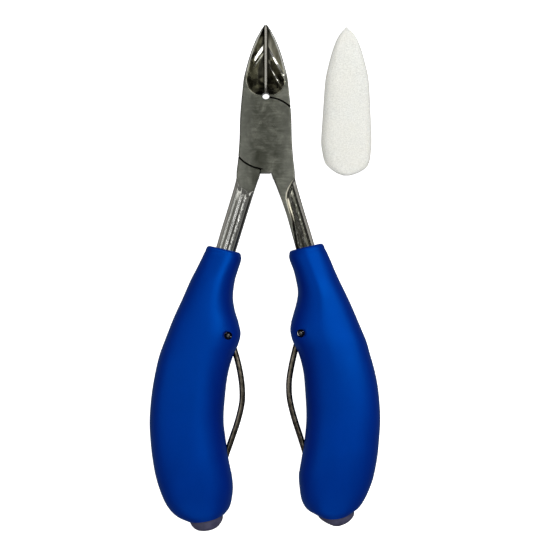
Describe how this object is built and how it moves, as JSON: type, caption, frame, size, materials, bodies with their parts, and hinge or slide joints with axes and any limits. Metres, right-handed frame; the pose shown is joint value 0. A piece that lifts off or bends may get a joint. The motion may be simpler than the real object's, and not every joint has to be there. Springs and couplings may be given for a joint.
{
  "type": "lap-joint nippers",
  "caption": "Hand nippers with a lap joint, pointed hollow-ground jaws, moulded handles, fold-out bow springs and a separate tip guard.",
  "frame": {"origin": "on the pivot axis, at the back face of the lap joint", "axes": "+Y towards the jaw tips, +Z along the pivot axis from the joint's back face to its front face, +X to the right seen from the front"},
  "size_m": [0.0729, 0.16, 0.0183],
  "materials": {
    "tool_steel": "satin-ground faces, rougher forged shanks, polished jaw scoops",
    "grip_blue": "satin, very fine texture",
    "core_slate": "matt slate",
    "spring_steel": "drawn wire, slightly dull",
    "guard_white": "frosted, slightly see-through"
  },
  "bodies": {
    "left_half": {"left_lever": "tool_steel", "pivot_rivet": "tool_steel", "left_grip": "grip_blue", "left_core": "core_slate", "left_spring_pin": "spring_steel"},
    "right_half": {"right_lever": "tool_steel", "right_grip": "grip_blue", "right_core": "core_slate", "right_spring_pin": "spring_steel"},
    "left_bow": {"left_spring": "spring_steel"},
    "right_bow": {"right_spring": "spring_steel"},
    "guard": {"tip_guard": "guard_white"}
  },
  "joints": [
    {"name": "pivot", "type": "hinge", "parent": "left_half", "child": "right_half", "pos_m": [0, 0, 0.004], "axis": [0, 0, 1], "range_deg": [0, 25]},
    {"name": "left_spring_swing", "type": "hinge", "parent": "left_half", "child": "left_bow", "pos_m": [-0.0118, -0.0636, 0.004], "axis": [0, 0, 1], "range_deg": [0, 16]},
    {"name": "right_spring_swing", "type": "hinge", "parent": "right_half", "child": "right_bow", "pos_m": [0.011, -0.0629, 0.004], "axis": [0, 0, -1], "range_deg": [0, 16]},
    {"name": "guard_lift", "type": "slide", "parent": "left_half", "child": "guard", "axis": [0, 0, 1], "range_m": [0, 0.03]}
  ]
}
